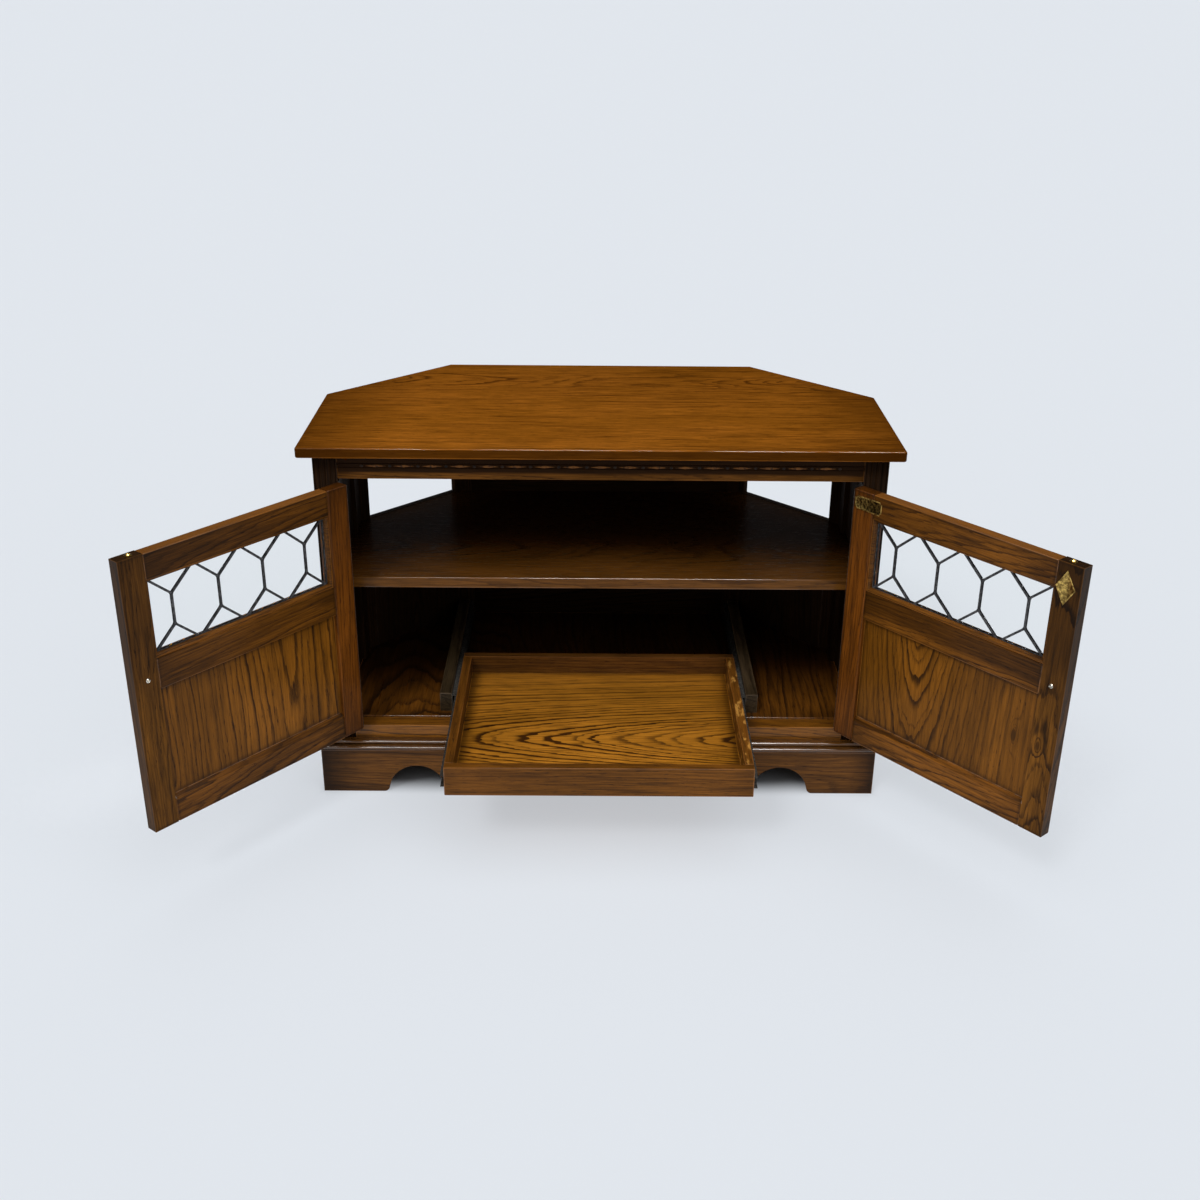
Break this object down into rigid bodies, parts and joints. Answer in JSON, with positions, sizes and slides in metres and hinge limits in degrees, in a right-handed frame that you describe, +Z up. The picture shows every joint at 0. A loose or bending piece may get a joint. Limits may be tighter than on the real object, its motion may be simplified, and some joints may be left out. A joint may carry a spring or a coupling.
{
  "type": "corner cabinet",
  "caption": "Low corner cabinet with canted back corners, part-glazed lattice doors, a shelf, open rear windows, a pull-out tray on metal slides and an arched plinth",
  "frame": {"origin": "on the floor under the middle of the front, in the plane of the carcase front", "axes": "X along the front to the right as seen from the front, Y to the back, Z up"},
  "size_m": [1.4242, 0.8369, 0.655],
  "materials": {
    "brown_oak": "stained oak, satin lacquer",
    "golden_oak": "lighter oak, satin lacquer",
    "glass": "clear pane",
    "lead": "dull dark lead came",
    "steel": "dark dull steel",
    "brass": "aged brass"
  },
  "bodies": {
    "carcase": {"top_board": "brown_oak", "left_front_post": "brown_oak", "right_front_post": "brown_oak", "frieze_rail": "brown_oak", "base_rail": "brown_oak", "floor_board": "golden_oak", "shelf": "golden_oak", "left_side_board": "brown_oak", "right_side_board": "brown_oak", "left_rear_post": "brown_oak", "right_rear_post": "brown_oak", "left_back_post": "brown_oak", "right_back_post": "brown_oak", "left_diagonal_board": "brown_oak", "right_diagonal_board": "brown_oak", "centre_back": "brown_oak", "base_moulding": "brown_oak", "front_plinth": "brown_oak", "left_plinth": "brown_oak", "right_plinth": "brown_oak", "back_plinth": "brown_oak", "left_runner": "brown_oak", "right_runner": "brown_oak", "left_slide_channel": "steel", "right_slide_channel": "steel", "left_post_leaf": "steel", "right_post_leaf": "steel"},
    "tray": {"tray_front": "brown_oak", "tray_back": "brown_oak", "tray_bottom": "golden_oak", "tray_left_side": "brown_oak", "tray_right_side": "brown_oak", "left_slide_member": "steel", "right_slide_member": "steel"},
    "left_door": {"left_hinge_stile": "brown_oak", "left_free_stile": "brown_oak", "left_top_rail": "brown_oak", "left_mid_rail": "brown_oak", "left_bottom_rail": "brown_oak", "left_door_panel": "golden_oak", "left_glass": "glass", "left_lead_lattice": "lead", "left_glazing_bead": "brown_oak", "left_door_leaf": "steel", "left_handle_plate": "brass"},
    "left_handle": {"left_handle_drop": "brass"},
    "left_catch": {"left_catch_plunger": "brass"},
    "right_door": {"right_hinge_stile": "brown_oak", "right_free_stile": "brown_oak", "right_top_rail": "brown_oak", "right_mid_rail": "brown_oak", "right_bottom_rail": "brown_oak", "right_door_panel": "golden_oak", "right_glass": "glass", "right_lead_lattice": "lead", "right_glazing_bead": "brown_oak", "right_door_leaf": "steel", "right_handle_plate": "brass"},
    "right_handle": {"right_handle_drop": "brass"},
    "right_catch": {"right_catch_plunger": "brass"}
  },
  "joints": [
    {"name": "left_door_hinge", "type": "hinge", "parent": "carcase", "child": "left_door", "pos_m": [-0.435, -0.001, 0.3595], "axis": [0, 0, -1], "range_deg": [-130, 5]},
    {"name": "right_door_hinge", "type": "hinge", "parent": "carcase", "child": "right_door", "pos_m": [0.435, -0.001, 0.3595], "axis": [0, 0, 1], "range_deg": [-130, 5]},
    {"name": "tray_slide", "type": "slide", "parent": "carcase", "child": "tray", "axis": [0, -1, 0], "range_m": [-0.28605, 0.01105]},
    {"name": "left_handle_swing", "type": "hinge", "parent": "left_door", "child": "left_handle", "pos_m": [-0.70391, -0.31058, 0.396], "axis": [0.6428, 0.766, 0], "range_deg": [0, 75]},
    {"name": "left_catch_slide", "type": "slide", "parent": "left_door", "child": "left_catch", "axis": [0, 0, 1], "range_m": [-0.003, 0], "stiffness_N_per_m": 300, "springref_m": 0.002},
    {"name": "right_handle_swing", "type": "hinge", "parent": "right_door", "child": "right_handle", "pos_m": [0.70391, -0.31058, 0.396], "axis": [0.6428, -0.766, 0], "range_deg": [0, 75]},
    {"name": "right_catch_slide", "type": "slide", "parent": "right_door", "child": "right_catch", "axis": [0, 0, 1], "range_m": [-0.003, 0], "stiffness_N_per_m": 300, "springref_m": 0.002}
  ],
  "couplings": [
    {"joint": "right_door_hinge", "follows": "left_door_hinge", "ratio": 1},
    {"joint": "tray_slide", "follows": "left_door_hinge", "m_per_rad": 0.12605}
  ]
}
